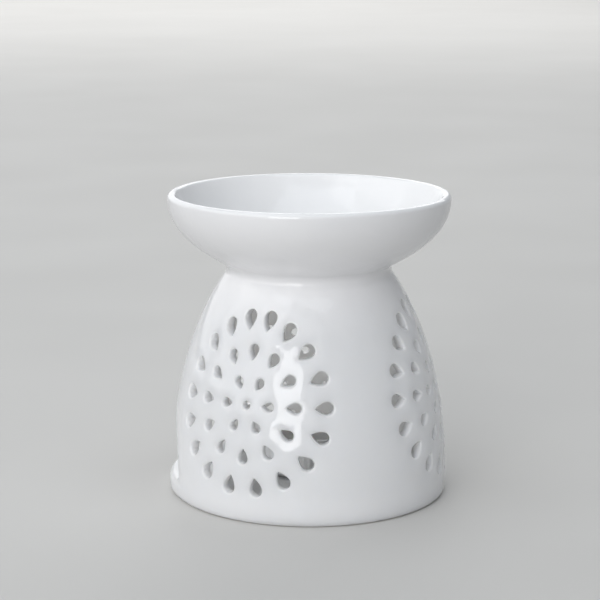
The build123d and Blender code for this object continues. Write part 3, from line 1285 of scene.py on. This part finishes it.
@dataclass
class Softbox:
    """A soft lamp that faces the burner.

    Attributes:
        distance: Distance in metres, as are the width and height.
        power: Power in watts.
        glint: Whether it shows in reflections alone.
    """

    name: str
    bearing: float
    elevation: float
    distance: float
    width: float
    height: float
    power: float
    colour: Colour = (1.0, 1.0, 1.0)
    glint: bool = False

    def build(self, target: Vector) -> None:
        """Hangs the lamp.

        Args:
            target: Point that it faces.
        """
        lamp = bpy.data.lights.new(self.name, "AREA")
        lamp.shape = "RECTANGLE"
        lamp.size, lamp.size_y = self.width, self.height
        lamp.energy, lamp.color = self.power, self.colour
        bearing, elevation = math.radians(self.bearing), math.radians(self.elevation)
        flat = Vector((math.sin(bearing), -math.cos(bearing), 0)) * math.cos(elevation)
        towards = flat + Vector((0, 0, math.sin(elevation)))
        holder = in_scene(self.name, lamp)
        holder.visible_diffuse = not self.glint
        holder.location = target + towards * self.distance
        holder.rotation_euler = towards.to_track_quat("Z", "Y").to_euler()


@dataclass
class Studio:
    """Camera of the photograph, soft lamps and a plain floor, in metres but for the lens and sensor."""

    bearing: float = -76.8
    pitch: float = 11.65
    roll: float = 0.1
    distance: float = 0.71355
    height: float = 0.2206
    aside: float = 0.00346
    lens: float = 114.74
    sensor: float = 36.0
    clip: Span = (0.01, 100.0)
    floor_radius: float = 9.0
    floor_steps: int = 96
    sky: Colour = (0.93, 0.96, 1.0)
    sky_strength: float = 0.27
    sky_seen: float = 0.42
    lamps: tuple[Softbox, ...] = (
        Softbox("window", -97.0, 15.0, 3.3, 1.32, 1.8, 31.5),
        Softbox("front_fill", -97.0, 22.0, 4.8, 5.1, 3.9, 45.0),
        Softbox("side_window", -147.0, 25.0, 3.9, 5.55, 2.85, 23.4),
        Softbox("side_glint", -147.0, 33.0, 3.9, 4.6, 4.0, 54.0, glint=True),
        Softbox("back_window", 132.0, 24.0, 3.75, 6.0, 3.0, 50.0),
        Softbox("overhead", -90.0, 78.0, 3.6, 3.9, 3.9, 52.2, (0.88, 0.94, 1.0)),
        Softbox("arch_window", 94.0, 34.0, 3.6, 2.4, 2.1, 21.0),
    )

    def camera(self) -> None:
        """Sets up the camera."""
        bearing, pitch = math.radians(self.bearing), math.radians(self.pitch)
        right = Vector((math.cos(bearing), math.sin(bearing), 0))
        ahead = Vector((-math.sin(bearing), math.cos(bearing), 0))
        look = ahead * math.cos(pitch) - Vector((0, 0, math.sin(pitch)))
        level_turn = Matrix((right, right.cross(look), -look)).transposed().to_4x4()
        spot = -ahead * self.distance - right * self.aside + Vector((0, 0, self.height))
        lens = bpy.data.cameras.new("camera")
        lens.lens, lens.sensor_width = self.lens, self.sensor
        lens.clip_start, lens.clip_end = self.clip
        camera = in_scene("camera", lens)
        roll = Matrix.Rotation(math.radians(self.roll), 4, "Z")
        camera.matrix_world = Matrix.Translation(spot) @ level_turn @ roll
        bpy.context.scene.camera = camera

    def light(self) -> None:
        """Hangs the lamps and sets the sky."""
        world = bpy.data.worlds.new("sky")
        world.use_nodes = True
        graph = Graph(world.node_tree)
        strength = graph.ramp(graph.backdrop(), (0, 1), (self.sky_strength, self.sky_seen))
        graph.add(graph.tree.nodes["Background"], {"Color": (*self.sky, 1), "Strength": strength})
        bpy.context.scene.world = world
        bpy.context.scene.view_settings.view_transform = "Standard"
        middle = (CAD_BOX[0] + CAD_BOX[1]) / 2
        for lamp in self.lamps:
            lamp.build(middle)

    def floor(self) -> None:
        """Lays the floor."""
        edge = level(arc((0, 0), self.floor_radius, 0, 360, self.floor_steps)[:-1], 0)
        mesh = bpy.data.meshes.new("studio_floor")
        mesh.from_pydata(edge, [], [list(range(len(edge)))])
        mesh.materials.append(STUDIO_FLOOR.material())
        in_scene("studio_floor", mesh)


def main() -> None:
    """Builds the burner and the studio, and reports each piece."""
    logging.basicConfig(level=logging.INFO, format="%(name)s: %(message)s")
    studio, bell, tealight = Studio(), PiercedBell(), Tealight()
    studio.camera()
    studio.light()
    studio.floor()
    body = bell.build()
    bell.dress(body)
    place(body, Body.BURNER, "pierced_body")
    place(OilDish().build(), Body.BURNER, "oil_dish")
    place(tealight.cup(), Body.TEALIGHT, "tealight_cup")
    place(tealight.wax(), Body.TEALIGHT, "tealight_wax")
    place(tealight.wick(), Body.TEALIGHT, "wick")
    tealight.dress()


if __name__ == "__main__":
    main()
